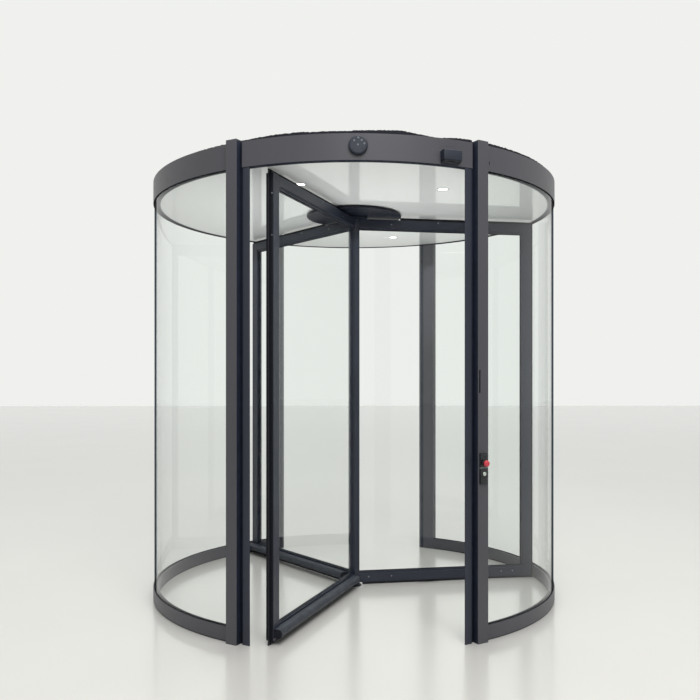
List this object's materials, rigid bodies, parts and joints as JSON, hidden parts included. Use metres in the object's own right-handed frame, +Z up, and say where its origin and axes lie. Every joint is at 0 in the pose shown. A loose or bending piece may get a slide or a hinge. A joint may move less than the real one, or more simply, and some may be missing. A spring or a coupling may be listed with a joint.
{
  "type": "revolving door",
  "caption": "Automatic revolving door: glazed wings turn about a slim column inside a round glass drum with dark posts, a header ring, a flat ceiling, sensors and an emergency stop.",
  "frame": {"origin": "on the floor at the axis of rotation, the middle of the drum", "axes": "+Z up along the axis of rotation, -Y out through the front passage, +X to the right seen from the front"},
  "size_m": [2.3096, 2.342, 2.341],
  "materials": {
    "frame_paint": "satin dark bronze-grey powder coat",
    "dark_profile": "satin charcoal powder coat",
    "black_rubber": "matte",
    "clear_glass": "clear with a faint green tint",
    "ceiling_white": "semi-gloss pale grey",
    "roof_black": "rough matte",
    "sensor_black": "satin black",
    "light_white": "lit diffuser with a thin rim",
    "stop_red": "gloss",
    "key_steel": "satin",
    "pivot_steel": "satin"
  },
  "bodies": {
    "drum": {"base_seals": "black_rubber", "bottom_rail_left": "frame_paint", "bottom_rail_right": "frame_paint", "ceiling_panel": "ceiling_white", "ceiling_trim": "dark_profile", "control_panel": "sensor_black", "curved_glass_front_left": "clear_glass", "curved_glass_front_right": "clear_glass", "curved_glass_rear_left": "clear_glass", "curved_glass_rear_right": "clear_glass", "downlights": "light_white", "fascia_left": "frame_paint", "fascia_right": "frame_paint", "floor_pivot": "pivot_steel", "front_header": "frame_paint", "front_left_post": "frame_paint", "front_motion_sensor": "sensor_black", "front_right_post": "frame_paint", "front_round_sensor": "sensor_black", "front_safety_edges": "dark_profile", "glass_gaskets": "black_rubber", "key_switch": "key_steel", "rear_header": "frame_paint", "rear_left_post": "frame_paint", "rear_motion_sensor": "sensor_black", "rear_right_post": "frame_paint", "rear_round_sensor": "sensor_black", "rear_safety_edges": "dark_profile", "roof_cover": "roof_black", "roof_panel": "roof_black", "slot_insert": "sensor_black", "top_bearing": "pivot_steel"},
    "rotor": {"wing_1_brushes": "black_rubber", "wing_1_bumper": "black_rubber", "wing_1_glass": "clear_glass", "wing_1_rails": "dark_profile", "wing_1_stile": "dark_profile", "wing_2_brushes": "black_rubber", "wing_2_bumper": "black_rubber", "wing_2_glass": "clear_glass", "wing_2_rails": "dark_profile", "wing_2_stile": "dark_profile", "wing_3_brushes": "black_rubber", "wing_3_bumper": "black_rubber", "wing_3_glass": "clear_glass", "wing_3_rails": "dark_profile", "wing_3_stile": "dark_profile", "center_column": "dark_profile", "ceiling_disc": "dark_profile"},
    "stop_button": {"emergency_stop": "stop_red"}
  },
  "joints": [
    {"name": "rotor_spin", "type": "hinge", "parent": "drum", "child": "rotor", "pos_m": [0, 0, 0], "axis": [0, 0, 1], "continuous": true},
    {"name": "stop_press", "type": "slide", "parent": "drum", "child": "stop_button", "axis": [-0.497, 0.8678, 0], "range_m": [0, 0.004], "stiffness_N_per_m": 2000}
  ]
}
